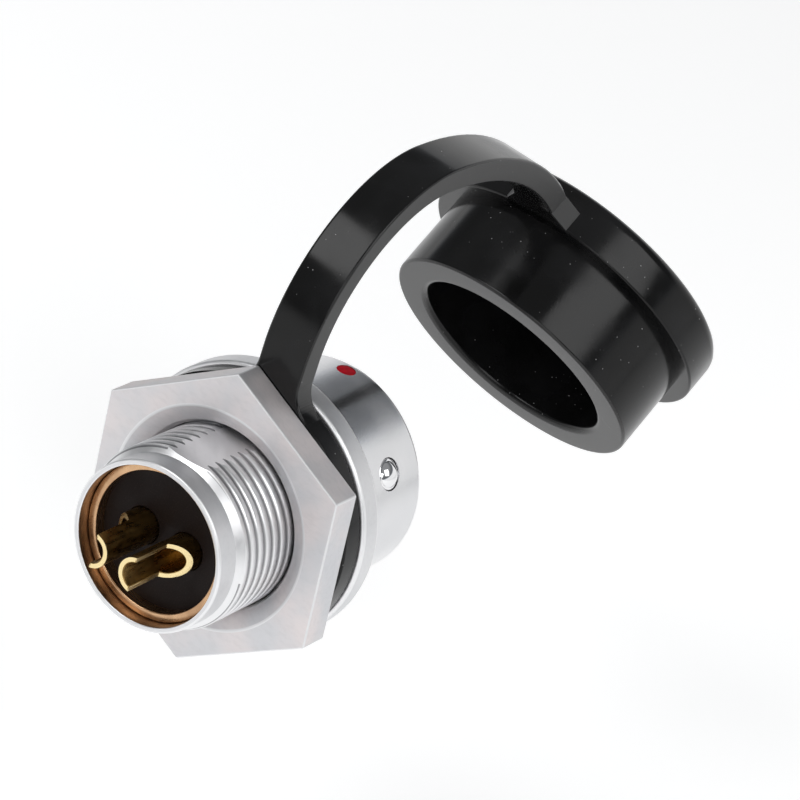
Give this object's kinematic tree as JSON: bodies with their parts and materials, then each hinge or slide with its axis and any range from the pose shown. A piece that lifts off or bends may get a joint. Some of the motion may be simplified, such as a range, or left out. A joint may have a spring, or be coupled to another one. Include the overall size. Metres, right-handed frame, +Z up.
{
  "type": "circular sensor connector",
  "caption": "Panel-mount circular connector receptacle with a threaded tail and hex nut, locking balls on its barrel, gilt solder-cup contacts and a rubber dust cap on a strap.",
  "frame": {"origin": "centre of the flange's rear face, on the connector axis", "axes": "+X along the connector axis towards the mating end, +Z up through the root of the cap's strap"},
  "size_m": [0.0682, 0.0258, 0.0386],
  "materials": {
    "plated_shell": "satin nickel plate on brass",
    "plated_nut": "satin nickel plate on brass",
    "rubber": "moulded black rubber, half gloss",
    "insulator": "dark brown moulded plastic",
    "seal_rubber": "rubber ring",
    "copper_ring": "copper coloured metal",
    "gilt": "gilt",
    "ball_chrome": "polished",
    "red_enamel": "red enamel fill"
  },
  "bodies": {
    "connector": {"shell": "plated_shell", "seal_strap": "rubber", "front_insulator": "insulator", "rear_insulator": "insulator", "insulator_seal": "seal_rubber", "retaining_ring": "copper_ring", "contact_left": "gilt", "contact_right": "gilt", "locking_ball_right": "ball_chrome", "locking_ball_left": "ball_chrome", "locking_ball_lower": "ball_chrome", "alignment_dot": "red_enamel"},
    "nut": {"hex_nut": "plated_nut"},
    "cap": {"dust_cap": "rubber"}
  },
  "joints": [
    {"name": "nut_turn", "type": "hinge", "parent": "connector", "child": "nut", "pos_m": [-0.00335, 0, 0], "axis": [1, 0, 0], "continuous": true},
    {"name": "cap_swing", "type": "hinge", "parent": "connector", "child": "cap", "pos_m": [0.02192, 0, 0.03061], "axis": [0, 1, 0], "range_deg": [-30, 42], "stiffness_Nm_per_rad": 0.05, "deforming": ["seal_strap"]}
  ]
}
